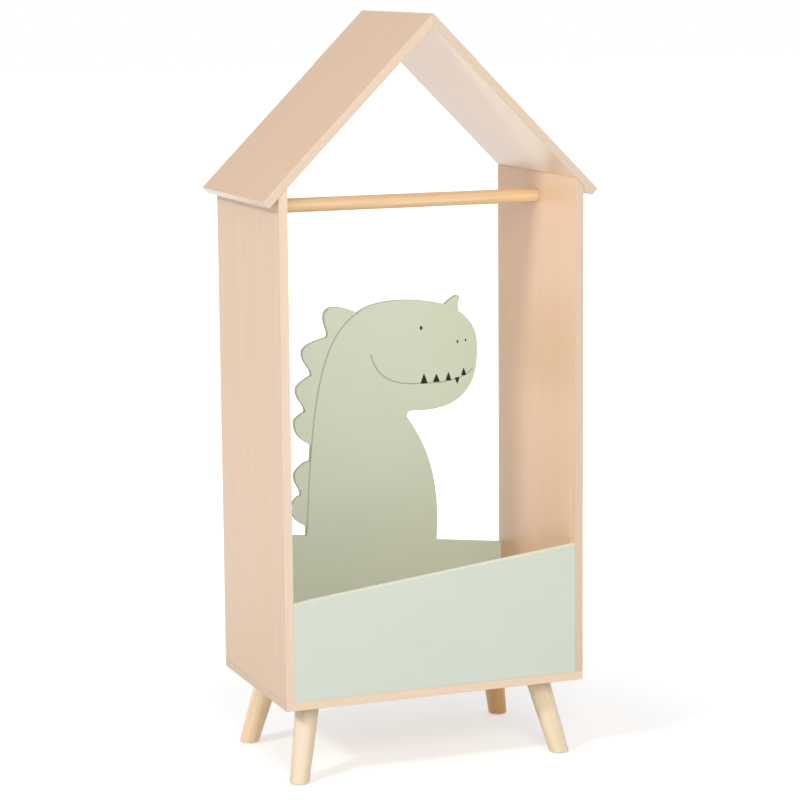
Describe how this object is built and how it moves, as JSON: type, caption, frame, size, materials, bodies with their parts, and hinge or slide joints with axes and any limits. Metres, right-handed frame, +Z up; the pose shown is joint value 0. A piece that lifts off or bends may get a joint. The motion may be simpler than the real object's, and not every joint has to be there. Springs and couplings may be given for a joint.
{
  "type": "kids coat stand",
  "caption": "House-shaped coat stand for a child: hanging rail under a pitched roof, toy box with a dinosaur cut-out back board, splayed turned legs.",
  "frame": {"origin": "on the floor, under the middle of the stand", "axes": "+Z up, +Y from the front to the back, +X to the right as seen from the front"},
  "size_m": [0.604, 0.336, 1.3],
  "materials": {
    "beech_board": "matte beech-decor foil on 15 mm board, faint grain",
    "mint_board": "satin mint lacquer on board",
    "sage_board": "satin sage lacquer on fibreboard, cut edges left bare",
    "pine_leg": "turned pine, clear matte lacquer",
    "pine_rail": "round pine rod, clear satin lacquer",
    "dowel_wood": "bare birch dowel",
    "zinc_steel": "zinc plated",
    "glide_plastic": "moulded, matte"
  },
  "bodies": {
    "root": {"left_side_panel": "beech_board", "right_side_panel": "beech_board", "left_roof_slab": "beech_board", "right_roof_slab": "beech_board", "base_board": "beech_board", "front_board": "mint_board", "dinosaur_back_board": "sage_board", "hanging_rail": "pine_rail", "leg_front_left": "pine_leg", "leg_back_left": "pine_leg", "leg_front_right": "pine_leg", "leg_back_right": "pine_leg", "glide_front_left": "glide_plastic", "glide_back_left": "glide_plastic", "glide_front_right": "glide_plastic", "glide_back_right": "glide_plastic", "leg_bolt_front_left": "zinc_steel", "leg_bolt_back_left": "zinc_steel", "leg_bolt_front_right": "zinc_steel", "leg_bolt_back_right": "zinc_steel", "leg_insert_front_left": "zinc_steel", "leg_insert_back_left": "zinc_steel", "leg_insert_front_right": "zinc_steel", "leg_insert_back_right": "zinc_steel", "base_screw_front_left": "zinc_steel", "base_screw_back_left": "zinc_steel", "base_screw_front_right": "zinc_steel", "base_screw_back_right": "zinc_steel", "front_cam_bolt_left": "zinc_steel", "front_cam_bolt_right": "zinc_steel", "back_cam_bolt_left": "zinc_steel", "back_cam_bolt_right": "zinc_steel", "front_cam_left": "zinc_steel", "front_cam_right": "zinc_steel", "back_cam_left": "zinc_steel", "back_cam_right": "zinc_steel", "leg_dowel_front_left": "dowel_wood", "leg_dowel_back_left": "dowel_wood", "leg_dowel_front_right": "dowel_wood", "leg_dowel_back_right": "dowel_wood", "base_dowel_front_left": "dowel_wood", "base_dowel_back_left": "dowel_wood", "base_dowel_front_right": "dowel_wood", "base_dowel_back_right": "dowel_wood", "roof_dowel_front_left": "dowel_wood", "roof_dowel_back_left": "dowel_wood", "roof_dowel_front_right": "dowel_wood", "roof_dowel_back_right": "dowel_wood", "ridge_dowel_front": "dowel_wood", "ridge_dowel_middle": "dowel_wood", "ridge_dowel_back": "dowel_wood", "front_dowel_left_low": "dowel_wood", "front_dowel_left_high": "dowel_wood", "front_dowel_right_low": "dowel_wood", "front_dowel_right_high": "dowel_wood", "back_dowel_left_low": "dowel_wood", "back_dowel_left_high": "dowel_wood", "back_dowel_right_low": "dowel_wood", "back_dowel_right_high": "dowel_wood"}
  },
  "joints": []
}
